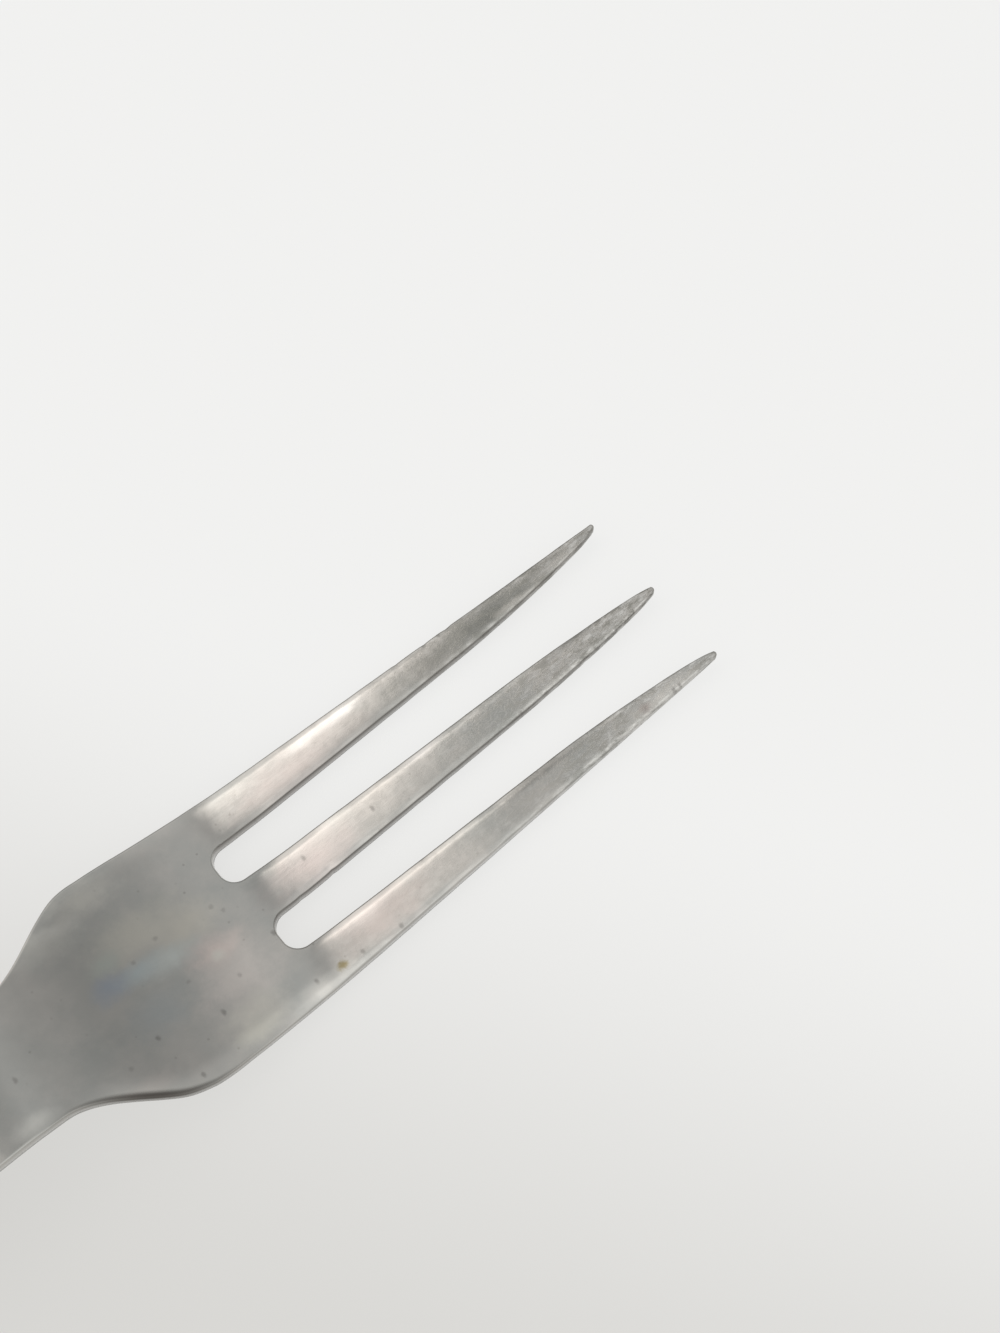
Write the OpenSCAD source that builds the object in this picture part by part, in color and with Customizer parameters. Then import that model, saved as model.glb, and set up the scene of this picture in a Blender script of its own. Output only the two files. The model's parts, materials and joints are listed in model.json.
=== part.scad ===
// Three-tined meat fork: a bent sheet-steel blade whose full tang is riveted between two wooden scales.
// It lies on its heel and its butt, with its points towards +X and its top face up.

/* [Head and tines] */
// Width of the head across its shoulders
head_w = 30; // [26:0.5:36]
// Width between the lines of the outer edges, at the points
tip_span = 24.2; // [21:0.2:28]
// Length of the tines, from the ends of the slots to the points
tine_len = 64.5; // [50:0.5:80]
// Width of the middle tine at its root
mid_tine_w = 6.1; // [5:0.1:7.5]
// Width that the middle tine narrows to, before its point is drawn
mid_tine_end_w = 3.4; // [2.5:0.1:4.5]
// Width that each outer tine narrows to, before its point is drawn
outer_tine_end_w = 2.7; // [2:0.1:4]
// Width of the slots at their ends
slot_w = 5.1; // [4.2:0.1:6]
// Radius of the corners at the ends of the slots
slot_corner_r = 2.1; // [1:0.1:2.5]
// Length over which each tine is drawn to its point
point_len = 25.5; // [15:0.5:35]
// Width of the blunt end of each point
point_w = 0.6; // [0.4:0.1:1.2]
// Length of the palm, from the ends of the slots to the shoulders
palm_len = 14.8; // [10:0.2:25]
// Length of the shoulder curves, from the palm to the neck
shoulder_len = 15.2; // [10:0.2:25]

/* [Neck] */
// Width of the neck behind the shoulders
neck_w = 16.5; // [12:0.5:20]
// Distance from the crest of the neck back to the front of the handle
crest_to_handle = 11; // [10:0.5:30]

/* [Sheet and bends] */
// Thickness of the sheet that the blade is stamped from
sheet_t = 2; // [1.5:0.1:2.5]
// Thickness left at the points
point_t = 1.2; // [0.8:0.1:1.5]
// How much the points rise over the heel, on the top face
point_rise = 0.6; // [0:0.1:4]
// Distance from the ends of the slots forward to the heel, where the blade touches the table
heel_lead = 10.3; // [4:0.1:16]
// Radius of the bend behind the heel, on the top face
heel_r = 94; // [70:1:120]
// Steepest slope of the neck, in degrees
neck_slope = 18.8; // [14:0.2:21]
// Radius of the bend over the neck, on the top face
neck_r = 110; // [80:1:130]

/* [Handle] */
// Length of the handle
handle_len = 112; // [95:1:135]
// Width of the handle at its front
handle_front_w = 20; // [18:0.5:24]
// Width of the handle at its widest, near the butt
handle_butt_w = 25; // [22:0.5:30]
// Length of the rounded butt end
butt_round = 14; // [8:0.5:20]
// Thickness of each scale along its middle
scale_t = 6.5; // [5:0.1:9]
// How much each scale falls from its middle to its edges, where it is widest
scale_crown = 2.2; // [1:0.1:3]
// Length of the slope at the front of each scale
scale_bevel = 4.5; // [2:0.5:8]
// Diameter of the hang hole
hang_hole_d = 5; // [3:0.5:7]
// Distance of the hang hole from the butt
hang_hole_inset = 10; // [8:0.5:14]

/* [Rivets] */
// Diameter of the rivet heads
rivet_head_d = 8; // [6.5:0.5:10]
// Thickness of the rivet heads
rivet_head_t = 1.6; // [1.2:0.1:2.4]
// Outside diameter of the hollow halves
rivet_socket_d = 5; // [4.4:0.1:6]
// Diameter of the solid halves
rivet_pin_d = 3.2; // [2.4:0.1:3.6]
// Distance of the front rivet from the front of the handle
rivet_front_inset = 16; // [12:0.5:24]
// Distance of the rear rivet from the butt
rivet_rear_inset = 30; // [24:0.5:40]
// Gap round the rivets in their holes
rivet_gap = 0.05; // [0.02:0.01:0.2]
// Gap between the two halves of a rivet
rivet_grip_gap = 0.02; // [0.01:0.01:0.05]
// Room left past the end of each rivet half, inside the other
rivet_end_room = 0.8; // [0.4:0.1:1.5]

/* [Hidden] */
$fn = 64;
// Places along the fork, from the middle of its length
heel_to_crest = (heel_r + neck_r) * sin(neck_slope);
overall_len = tine_len - heel_lead + heel_to_crest + crest_to_handle + handle_len;
x_points = overall_len / 2;
x_drawn = x_points - point_len;
x_slots = x_points - tine_len;
x_heel = x_slots + heel_lead;
x_shoulders = x_slots - palm_len;
x_neck = x_shoulders - shoulder_len;
x_crest = x_heel - heel_to_crest;
x_front = x_crest - crest_to_handle;
x_butt = x_front - handle_len;
x_round = x_butt + butt_round;

// Steps on the curves of the outline and of the bends
outline_steps = 10;
bend_steps = 12;
// How far cutting shapes reach past what they cut
over = 1;
// Higher than the whole fork
tall = 60;

// Centre of the bend over the neck, and the tilt at which the handle brings the butt down to the table
neck_centre = [x_crest, sheet_t + heel_r - (heel_r + neck_r) * cos(neck_slope)];
butt_to_centre = neck_centre - [x_butt, 0];
handle_tilt = atan2(butt_to_centre.y, butt_to_centre.x)
    + asin((neck_r - sheet_t - scale_t) / norm(butt_to_centre));

// Heights in the handle, from the middle of the tang's thickness
scale_inner = sheet_t / 2;
scale_outer = scale_inner + scale_t;
rivet_seat = scale_outer - rivet_head_t;
crown_r = (pow(handle_butt_w / 2, 2) + pow(scale_crown, 2)) / (2 * scale_crown);

slot_r = min(slot_corner_r, slot_w / 2);
outer_tine_w = edge_line(x_slots) - slot_w - mid_tine_w / 2;

rivet_names = ["front", "middle", "rear"];
rivet_places = [
    for (i = [0 : len(rivet_names) - 1])
        ramp(x_front - rivet_front_inset, x_butt + rivet_rear_inset, i / (len(rivet_names) - 1))
];

steel = [0.56, 0.555, 0.54];
walnut = [0.36, 0.22, 0.13];
brass = [0.72, 0.57, 0.30];

function ramp(from, to, share) = from + (to - from) * share;
function ease(share) = share * share * (3 - 2 * share);
function along(x, from, to) = (x - from) / (to - from);
function steps(from, to) = [for (i = [0 : outline_steps]) ramp(from, to, i / outline_steps)];

// Half the blade's width at x, and the edges of the tines
function edge_line(x) = ramp(head_w / 2, tip_span / 2, along(x, x_shoulders, x_points));
function shoulder_half(x) = ramp(neck_w, head_w, ease(along(x, x_neck, x_shoulders))) / 2;
function neck_half(x) = ramp(handle_front_w, neck_w, ease(along(x, x_front, x_neck))) / 2;
function handle_half(x) = ramp(handle_front_w, handle_butt_w, ease(along(x, x_front, x_round))) / 2;
function drawn(x) = max(0, along(x, x_drawn, x_points));
function pointed(width, x) = ramp(point_w, width, sqrt(max(0, 1 - pow(drawn(x), 2))));
function tine_share(x) = along(x, x_slots, x_points);
function mid_half(x) = pointed(ramp(mid_tine_w, mid_tine_end_w, tine_share(x)), x) / 2;
function tine_inner(x) = edge_line(x) - pointed(ramp(outer_tine_w, outer_tine_end_w, tine_share(x)), x);

// Stations along a drawn point, closer together towards its end
point_x = [for (i = [0 : outline_steps]) x_drawn + point_len * sin(90 * i / outline_steps)];

// One side of the handle, from the butt to its front
handle_edge = concat(
    [
        for (i = [0 : outline_steps - 1])
            let (turn = 90 * i / outline_steps, x = x_round - butt_round * cos(turn))
            [x, handle_half(x) * sin(turn)]
    ],
    [for (x = steps(x_round, x_front)) [x, handle_half(x)]]
);

// The end of one slot, from the outer tine round to the middle one
slot_end = concat(
    [
        for (i = [0 : outline_steps])
            let (turn = 90 + 90 * i / outline_steps)
            [x_slots + slot_r * (1 + cos(turn)), tine_inner(x_slots + slot_r) - slot_r * (1 - sin(turn))]
    ],
    [
        for (i = [0 : outline_steps])
            let (turn = 180 + 90 * i / outline_steps)
            [x_slots + slot_r * (1 + cos(turn)), mid_half(x_slots + slot_r) + slot_r * (1 + sin(turn))]
    ]
);

// One side of the blade, from the butt along the outer edge, round the outer tine and along the middle one
blade_edge = concat(
    handle_edge,
    [for (x = steps(x_front, x_neck)) if (x > x_front) [x, neck_half(x)]],
    [for (x = steps(x_neck, x_shoulders)) if (x > x_neck) [x, shoulder_half(x)]],
    [for (x = point_x) [x, edge_line(x)]],
    [for (i = [outline_steps : -1 : 0]) [point_x[i], tine_inner(point_x[i])]],
    slot_end,
    [for (x = point_x) [x, mid_half(x)]]
);

function mirrored(edge) = [for (i = [len(edge) - 1 : -1 : 1]) [edge[i].x, -edge[i].y]];

// A face of the bent sheet seen from the side, a depth below its top face, from the points to the butt
function tine_height(share) = sheet_t + point_rise * share * share;
function tine_thickness(share) = ramp(sheet_t, point_t, share);
function tang_height(x, depth) =
    let (radius = neck_r - depth)
    neck_centre.y + radius / cos(handle_tilt) + (x - neck_centre.x) * tan(handle_tilt);
function sheet_face(depth) = concat(
    [
        for (i = [bend_steps : -1 : 1])
            let (share = i / bend_steps, x = ramp(x_heel, x_points + over, share))
            [x, tine_height(share) - tine_thickness(share) * depth / sheet_t]
    ],
    [
        for (i = [0 : bend_steps])
            let (turn = neck_slope * i / bend_steps)
            [x_heel - (heel_r + depth) * sin(turn), sheet_t + heel_r - (heel_r + depth) * cos(turn)]
    ],
    [
        for (i = [1 : bend_steps])
            let (turn = ramp(neck_slope, -handle_tilt, i / bend_steps))
            neck_centre + (neck_r - depth) * [sin(turn), cos(turn)]
    ],
    [[x_butt - over, tang_height(x_butt - over, depth)]]
);

module sheet_profile() {
    top = sheet_face(0);
    bottom = sheet_face(sheet_t);
    polygon(concat(top, [for (i = [len(bottom) - 1 : -1 : 0]) bottom[i]]));
}

module upright(width) {
    rotate([90, 0, 0])
        linear_extrude(height = width, center = true)
            children();
}

// The handle's own frame: x along the tang, z square to it, from the middle of the tang's thickness
module in_handle() {
    translate([neck_centre.x, 0, neck_centre.y])
        rotate([0, -handle_tilt, 0])
            translate([0, 0, neck_r - sheet_t / 2])
                children();
}

// A place given along the fork, as a place along the tang
function tang_place(x) =
    (x - neck_centre.x) / cos(handle_tilt) + (neck_r - sheet_t / 2) * tan(handle_tilt);

module at_tang(x) {
    translate([tang_place(x), 0, 0])
        children();
}

module through_hole(x, diameter) {
    at_tang(x)
        cylinder(d = diameter, h = tall, center = true);
}

module tang_holes() {
    for (x = rivet_places)
        through_hole(x, rivet_socket_d + 2 * rivet_gap);
    through_hole(x_butt + hang_hole_inset, hang_hole_d);
}

// The rounded top that the upper scale and the rivet heads in it are ground to
module crown() {
    at_tang(x_butt - butt_round)
        translate([0, 0, scale_outer - crown_r])
            rotate([0, 90, 0])
                cylinder(r = crown_r, h = handle_len + 2 * butt_round, $fn = 180);
}

module scale_side() {
    front = tang_place(x_front);
    back = tang_place(x_butt) - butt_round;
    polygon([
        [back, scale_inner],
        [front, scale_inner],
        [front - scale_bevel, scale_outer + over],
        [back, scale_outer + over]
    ]);
}

// One scale over the tang, in the handle's own frame
module scale_blank() {
    difference() {
        intersection() {
            upright(2 * handle_butt_w)
                scale_side();
            crown();
        }
        tang_holes();
        for (x = rivet_places)
            at_tang(x)
                translate([0, 0, rivet_seat])
                    cylinder(d = rivet_head_d + 2 * rivet_gap, h = tall);
    }
}

// An outline as an upright wall, from just under the table to over the whole fork
module wall(edge) {
    translate([0, 0, -over])
        linear_extrude(height = tall)
            polygon(concat(edge, mirrored(edge)));
}

module handle_wall() {
    wall(concat(handle_edge, [[x_front + over, handle_front_w / 2]]));
}

module rivet_head(x) {
    intersection() {
        at_tang(x)
            translate([0, 0, rivet_seat])
                cylinder(d = rivet_head_d, h = rivet_head_t + over);
        crown();
    }
}

module fork_blade() {
    color(steel)
        difference() {
            intersection() {
                upright(2 * head_w)
                    sheet_profile();
                wall(blade_edge);
            }
            in_handle()
                tang_holes();
        }
}

module upper_scale() {
    color(walnut)
        intersection() {
            in_handle()
                scale_blank();
            handle_wall();
        }
}

module lower_scale() {
    color(walnut)
        intersection() {
            in_handle()
                mirror([0, 0, 1])
                    scale_blank();
            handle_wall();
        }
}

module rivet_pin(x) {
    color(brass)
        in_handle() {
            rivet_head(x);
            at_tang(x)
                translate([0, 0, rivet_end_room - rivet_seat])
                    cylinder(d = rivet_pin_d, h = 2 * rivet_seat - rivet_end_room);
        }
}

module rivet_socket(x) {
    color(brass)
        in_handle() {
            mirror([0, 0, 1])
                rivet_head(x);
            at_tang(x)
                translate([0, 0, -rivet_seat])
                    difference() {
                        cylinder(d = rivet_socket_d, h = 2 * rivet_seat - rivet_end_room);
                        cylinder(d = rivet_pin_d + 2 * rivet_grip_gap, h = tall);
                    }
        }
}

fork_blade();
upper_scale();
lower_scale();
for (i = [0 : len(rivet_names) - 1]) {
    rivet_pin(rivet_places[i]);
    rivet_socket(rivet_places[i]);
}
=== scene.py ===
import json
import math

import bmesh
import bpy
from mathutils import Matrix, Vector, noise
from mathutils.geometry import delaunay_2d_cdt


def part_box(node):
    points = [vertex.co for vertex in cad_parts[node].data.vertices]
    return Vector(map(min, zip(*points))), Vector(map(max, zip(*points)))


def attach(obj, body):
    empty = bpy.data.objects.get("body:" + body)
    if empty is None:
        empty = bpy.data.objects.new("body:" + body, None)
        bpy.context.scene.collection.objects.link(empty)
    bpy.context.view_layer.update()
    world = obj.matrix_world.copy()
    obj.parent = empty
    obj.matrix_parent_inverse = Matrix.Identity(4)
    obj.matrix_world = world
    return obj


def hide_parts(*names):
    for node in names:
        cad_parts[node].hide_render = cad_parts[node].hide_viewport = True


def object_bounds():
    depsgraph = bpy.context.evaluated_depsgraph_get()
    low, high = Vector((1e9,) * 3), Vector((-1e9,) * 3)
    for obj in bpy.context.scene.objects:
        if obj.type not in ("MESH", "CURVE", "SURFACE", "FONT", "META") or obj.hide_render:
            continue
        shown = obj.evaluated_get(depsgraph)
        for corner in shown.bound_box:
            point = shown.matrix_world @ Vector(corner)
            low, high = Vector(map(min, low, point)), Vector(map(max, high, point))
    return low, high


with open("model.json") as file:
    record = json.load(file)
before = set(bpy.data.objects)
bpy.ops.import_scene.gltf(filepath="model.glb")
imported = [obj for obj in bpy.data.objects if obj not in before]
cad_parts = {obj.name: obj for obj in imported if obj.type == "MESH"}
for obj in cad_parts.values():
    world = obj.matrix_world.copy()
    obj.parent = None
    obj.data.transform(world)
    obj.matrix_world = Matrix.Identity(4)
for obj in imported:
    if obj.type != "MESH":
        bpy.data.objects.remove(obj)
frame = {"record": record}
cad_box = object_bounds()


# The blade: tines, palm, shoulders, neck and full tang in one piece.
# It is stamped from 2 mm stainless sheet, then bent at the heel and over the neck. Grinding and polishing
# rolled its top edges over and crowned the tines, and long use has scuffed and stained it.
MM = 0.001
hang_hole = frame["record"]["mounts"][0]
handle_tilt = math.atan2(-hang_hole["axis"][0], hang_hole["axis"][2])
blade_low, blade_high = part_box("fork_blade")
scale_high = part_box("upper_scale")[1]

# Sizes in millimetres, and angles in radians
sheet_t = 2
point_t = 1.2
point_rise = 0.6
head_w = 2 * blade_high.y / MM
tip_span = 24.2
tine_len = 64.5
mid_tine_w = 6.1
mid_tine_end_w = 3.4
outer_tine_end_w = 2.7
slot_w = 5.1
slot_r = 2.1
point_len = 25.5
point_w = 0.6
point_cap = 0.35
point_taper = 0.6
palm_len = 14.8
shoulder_len = 15.2
neck_w = 16.5
heel_lead = 10.3
heel_r = 94
neck_slope = math.radians(18.8)
neck_r = 110
handle_front_w = 20
handle_butt_w = 25
butt_round = 14
# The stamping is a little uneven: the left slot ends further back than the right one
slot_shift = {1: -0.4, -1: 0.5}

# Places along the fork, and for the front of the scales its place at the middle of the tang's thickness
x_points = blade_high.x / MM
x_butt = blade_low.x / MM
x_front = scale_high.x / MM + sheet_t / 2 * math.sin(handle_tilt)
x_round = x_butt + butt_round
x_drawn = x_points - point_len
x_slots = x_points - tine_len
x_heel = x_slots + heel_lead
x_shoulders = x_slots - palm_len
x_neck = x_shoulders - shoulder_len
x_crest = x_heel - (heel_r + neck_r) * math.sin(neck_slope)
neck_centre_z = sheet_t + heel_r - (heel_r + neck_r) * math.cos(neck_slope)


def ramp(start, end, share):
    return start + (end - start) * share


def along(x, start, end):
    return (x - start) / (end - start)


def ease(share):
    share = min(1, max(0, share))
    return share * share * (3 - 2 * share)


def sheet_height(x, depth):
    """Height of the bent sheet at x, a depth below its top face."""
    if x > x_heel:
        share = along(x, x_heel, x_points)
        return sheet_t + point_rise * share ** 2 - depth * ramp(1, point_t / sheet_t, share)
    if x > x_heel - (heel_r + depth) * math.sin(neck_slope):
        return sheet_t + heel_r - math.sqrt((heel_r + depth) ** 2 - (x_heel - x) ** 2)
    if x > x_crest - (neck_r - depth) * math.sin(handle_tilt):
        return neck_centre_z + math.sqrt((neck_r - depth) ** 2 - (x - x_crest) ** 2)
    straight = (neck_r - depth) / math.cos(handle_tilt)
    return neck_centre_z + straight + (x - x_crest) * math.tan(handle_tilt)


def half_width(x):
    """Half the width of the blade at x, out to its outer edges."""
    if x < x_front:
        half = ramp(handle_front_w, handle_butt_w, ease(along(x, x_front, x_round))) / 2
        return half * math.sqrt(max(0, 1 - max(0, (x_round - x) / butt_round) ** 2))
    if x < x_neck:
        return ramp(handle_front_w, neck_w, ease(along(x, x_front, x_neck))) / 2
    if x < x_shoulders:
        return ramp(neck_w, head_w, ease(along(x, x_neck, x_shoulders))) / 2
    return ramp(head_w, tip_span, along(x, x_shoulders, x_points)) / 2


def tine_w(x, root_w, end_w):
    """Width of a tine at x, drawn to a point along its end."""
    width = ramp(root_w, end_w, along(x, x_slots, x_points))
    drawn = max(0, along(x, x_drawn, x_points))
    return ramp(point_w, width, max(0, 1 - drawn ** 2) ** point_taper)


def mid_tine(x):
    return tine_w(x, mid_tine_w, mid_tine_end_w)


def outer_tine(x):
    return tine_w(x, half_width(x_slots) - slot_w - mid_tine_w / 2, outer_tine_end_w)


def stations(start, end, step):
    count = round(abs(end - start) / step)
    return [ramp(start, end, i / count) for i in range(count)]


edge_step = 0.45
butt_steps = 40
point_steps = 48
arc_steps = 12
# Half the width that stands for all the broad parts, where the rolled edges have all the room they need
broad = 10


def quarter_turn(steps):
    return [math.pi / 2 * i / steps for i in range(steps + 1)]


butt_x = [x_round - butt_round * math.cos(turn) for turn in quarter_turn(butt_steps)[1:-1]]


def blade_side(side):
    """One side of the outline, from the butt round the outer tine to the middle point.

    Each point has its x, its y, and half the width of the tine that it lies on.
    """
    points = []
    for x in butt_x + stations(x_round, x_drawn, edge_step):
        points.append((x, half_width(x), broad if x < x_slots else outer_tine(x) / 2))
    drawn_len = point_len - point_cap
    point_x = [x_drawn + drawn_len * math.sin(turn) for turn in quarter_turn(point_steps)]
    points += [(x, half_width(x), outer_tine(x) / 2) for x in point_x]
    cap_x, cap_half = point_x[-1], outer_tine(point_x[-1]) / 2
    for i in range(1, 2 * arc_steps):
        turn = math.pi / 2 * (i / arc_steps - 1)
        cap_y = half_width(cap_x) - cap_half - cap_half * math.sin(turn)
        points.append((cap_x + point_cap * math.cos(turn), cap_y, cap_half))
    slot_x = x_slots + slot_shift[side]
    tine_x = stations(slot_x + slot_r, x_drawn, edge_step) + point_x
    for x in reversed(tine_x):
        points.append((x, half_width(x) - outer_tine(x), outer_tine(x) / 2))
    outer_y, inner_y = points[-1][1] - slot_r, mid_tine(tine_x[0]) / 2 + slot_r
    for turn in quarter_turn(arc_steps)[1:]:
        points.append((tine_x[0] - slot_r * math.sin(turn), outer_y + slot_r * math.cos(turn), broad))
    for turn in quarter_turn(arc_steps)[:-1]:
        points.append((tine_x[0] - slot_r * math.cos(turn), inner_y - slot_r * math.sin(turn), broad))
    points += [(x, mid_tine(x) / 2, mid_tine(x) / 2) for x in tine_x]
    cap_half = mid_tine(cap_x) / 2
    for turn in quarter_turn(arc_steps)[1:-1]:
        points.append((cap_x + point_cap * math.sin(turn), cap_half * math.cos(turn), cap_half))
    return [(x, side * y, half) for x, y, half in points]


# Nicks in the edges, and the shoulders' corners and the points, which are worn: place, depth and half length
nicks = [
    ((97.6, 13.2), 0.12, 0.5),
    ((94.2, 13.3), 0.08, 0.4),
    ((67.2, -3.0), 0.1, 0.4),
    ((62.4, -3.0), 0.06, 0.4),
    ((89.8, 13.3), 0.06, 0.4),
    ((108.6, -1.8), 0.05, 0.4),
    ((42, 15), 0.2, 2.2),
    ((41, -15), 0.2, 2),
    ((121.5, 11.8), 0.06, 2),
    ((121.5, 0), 0.06, 2),
    ((121.5, -11.8), 0.05, 2),
]
edge_wander = 0.025
wander_len = 2.4


def edge_loss(spot):
    """How far the worn edge lies inside the stamped one."""
    loss = edge_wander * (1 + noise.noise((spot / wander_len).to_3d()))
    for place, depth, length in nicks:
        loss += depth * math.exp(-((spot - Vector(place)).length / length) ** 2)
    return loss


# The polishing belt rounded the outer edges, but hardly reached the slots and the hollow behind the right
# shoulder. An edge's dullness is 1 where it is darkest, and less where it was polished. Its darkness is
# partly the sheared steel's own and partly painted shade, strongest on the edges that face each other across
# the slots and in the hollow, where it also reaches 1 mm into the face as a painted shadow band.
outer_edge_r = 0.2
slot_edge_r = 0.1
under_edge_r = 0.12
left_dullness = 0.7
right_dullness = 0.35
neck_dullness = 0.15
slot_margin = 1
slot_dullness_and_shade = 0.82
slot_end_dullness = 0.35
slot_end_span = (-0.2, 1.8)
point_dullness = 0.55
point_dull_lead = 30
under_dullness = 0.45
rim_reach = 0.2
rim_core = 0.4
hollow_shadow_reach = 1
x_hollow = x_neck + 8.5
hollow_len = 7.5
hollow_roll = 0.5
# The scales kept the edges just ahead of them square
guarded_len = 4
# The belt also rolled the outer edges of the palm over, the right one more, and left a bevel along both
# sides of each tine, which runs out before the ends of the slots
roll_reach = 2.6
left_roll_slope = 0.12
right_roll_slope = 0.4
roll_run_out = 10
bevel_reach = 0.9
bevel_fade = 0.3
bevel_slope = 0.2
point_slope = 0.7
bevel_soft = 0.14
bevel_wander = 0.6
bevel_wander_len = 4.5
crown_slope = 0.05
bevel_lead = 1
bevel_run_out = 6
# Where a tine is narrow, its two rolled edges share the room that there is
cap_room = 0.1
cap_room_growth = 0.3
worn_room = 0.14
room_share = 0.85
# Depths of the rings in from the outline, on the top face and on the underside
top_depths = [0, 0.02, 0.06, 0.12, 0.2, 0.35, 0.5, 0.65, 0.78, 0.9, 1.02, 1.15, 1.4, 1.9, 2.6]
under_depths = [0, 0.04, 0.12]
# The bend is sharpest just past the ends of the slots
crease_x = x_slots + 2.2
crease_len = 3.4
crease_depth = 0.08
# Shallow waves left by hand polishing: length and height
waves = [(8, 0.012), (2.5, 0.002)]


def bare(x):
    """1 on the bare blade, 0 where the scales cover it and its edges stay square."""
    return ease(along(x, x_front, x_front + guarded_len))


def on_tines(x):
    """1 on the tines, 0 on the palm."""
    bevel_x = x_slots + bevel_lead
    return ease(along(x, bevel_x, bevel_x + bevel_run_out))


def in_slots(spot):
    """Whether a spot on the outline lies on the edge of a slot."""
    return spot.x > x_slots - slot_margin and abs(spot.y) < half_width(spot.x) - outer_tine(spot.x) / 2


def edge_round(spot):
    """Radius of the top edge at a spot on the outline."""
    if in_slots(spot):
        return slot_edge_r
    return ramp(outer_edge_r, slot_edge_r, ease(along(spot.x, x_drawn, x_points)))


def in_hollow(spot):
    """1 in the hollow behind the right shoulder, 0 far from it."""
    return math.exp(-((spot.x - x_hollow) / hollow_len) ** 2) if spot.y < 0 else 0


def edge_dullness_and_shade(spot):
    """Dullness of the edge at a spot on the outline, darkened by painted shade in the slots and the hollow.
    """
    if in_slots(spot):
        past_end = ease(along(spot.x - x_slots, *slot_end_span))
        near_point = ease(along(spot.x, x_slots + point_dull_lead, x_points))
        return ramp(slot_end_dullness, ramp(slot_dullness_and_shade, point_dullness, near_point), past_end)
    head_dullness = left_dullness if spot.y > 0 else right_dullness
    outer = ramp(neck_dullness, head_dullness, ease(along(spot.x, x_neck, x_shoulders)))
    return bare(spot.x) * ramp(outer, 1, in_hollow(spot))


def rim_dullness_and_shade(spot, depth):
    """Dullness of the faces, a depth in from the edge, with a painted shadow band in the hollow."""
    reach = ramp(rim_reach, hollow_shadow_reach, in_hollow(spot))
    return edge_dullness_and_shade(spot) * ease(along(depth, reach, rim_core * reach))


def fallen(depth, radius):
    """How far a quarter round has fallen, a depth in from the edge."""
    return radius - math.sqrt(max(0, radius ** 2 - max(0, radius - depth) ** 2))


def top_drop(spot, depth):
    """How far the top face has fallen, a depth in from a spot on the outline."""
    curl = roll_reach / 2 * (1 - depth / roll_reach) ** 2
    roll_slope = left_roll_slope if spot.y > 0 else right_roll_slope
    if in_slots(spot):
        roll_slope = 0
    roll_slope *= ease(along(spot.x, x_neck, x_neck + roll_run_out)) * (1 - hollow_roll * in_hollow(spot))
    slope = ramp(bevel_slope, point_slope, ease(along(spot.x, x_drawn, x_points)))
    slope *= 1 + bevel_wander * noise.noise((spot / bevel_wander_len).to_3d())
    bevel = slope * bevel_soft * math.log(1 + math.exp((bevel_reach - depth) / bevel_soft))
    rolled = ramp(roll_slope * curl, bevel + crown_slope * curl, on_tines(spot.x))
    return bare(spot.x) * (fallen(depth, edge_round(spot)) + rolled)


def top_height(x, y):
    crease = crease_depth / (1 + ((x - crease_x) / crease_len) ** 2)
    wave = sum(height * noise.noise(Vector((x, y, 0)) / length) for length, height in waves)
    return sheet_height(x, 0) + bare(x) * (wave - crease)


def outlined(points):
    """Each point of a clockwise outline, with its outward direction and its share of room to roll over."""
    spots = [Vector(point[:2]) for point in points]
    result = []
    for i, spot in enumerate(spots):
        way = (spots[(i + 1) % len(spots)] - spots[i - 1]).normalized()
        half = min(points[i][2] - worn_room, cap_room + cap_room_growth * (x_points - spot.x))
        room = min(1, room_share * half / roll_reach)
        result.append((spot, Vector((-way.y, way.x)), room))
    return result


def strips(bm, loops):
    """Quads between each closed loop of vertices and the next."""
    for one, other in zip(loops, loops[1:]):
        for i in range(len(one)):
            bm.faces.new((one[i - 1], one[i], other[i], other[i - 1]))


inside_only = 1
least_gap = 1e-6


def fill(bm, rim, hole_rims, loose):
    """Triangles inside a closed loop, seen from above, through loose vertices and round the holes."""
    loops = [rim] + hole_rims
    holes = [set(hole_rim) for hole_rim in hole_rims]
    verts = [vert for loop in loops for vert in loop] + loose
    edges = []
    for loop in loops:
        start = len(edges)
        edges += [(start + i, start + (i + 1) % len(loop)) for i in range(len(loop))]
    spots = [vert.co.xy for vert in verts]
    _, _, triangles, sources, _, _ = delaunay_2d_cdt(spots, edges, [], inside_only, least_gap)
    for triangle in triangles:
        corners = [verts[sources[i][0]] for i in triangle]
        if not any(hole.issuperset(corners) for hole in holes):
            bm.faces.new(corners)


def sharpen(bm, loop):
    for i in range(len(loop)):
        bm.edges.get((loop[i - 1], loop[i])).smooth = False


def finished(name, bm):
    """A closed mesh, drawn in millimetres, as an object in the frame."""
    bmesh.ops.delete(bm, geom=[vert for vert in bm.verts if not vert.link_faces], context="VERTS")
    bmesh.ops.recalc_face_normals(bm, faces=bm.faces)
    for face in bm.faces:
        face.smooth = True
    mesh = bpy.data.meshes.new(name)
    bm.to_mesh(mesh)
    bm.free()
    mesh.transform(Matrix.Scale(MM, 4))
    piece = bpy.data.objects.new(name, mesh)
    bpy.context.scene.collection.objects.link(piece)
    return piece


# Holes through the tang, square to it: place at the middle of its thickness, and radius
rivet_front_inset = 16
rivet_rear_inset = 30
rivet_count = 3
rivet_socket_r = 2.5
rivet_gap = 0.05
front_rivet_x = x_front - rivet_front_inset
rear_rivet_x = x_butt + rivet_rear_inset
rivet_x = [ramp(front_rivet_x, rear_rivet_x, i / (rivet_count - 1)) for i in range(rivet_count)]
hang_x = hang_hole["pos_m"][0] / MM
hang_r = hang_hole["dims"]["r_mm"]
tang_holes = [(x, rivet_socket_r + rivet_gap) for x in rivet_x] + [(hang_x, hang_r)]
hole_sides = 48


def hole_centre(x, level):
    """Centre of a hole at a level over the middle of the tang."""
    return Vector((x - level * math.sin(handle_tilt), 0))


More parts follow.
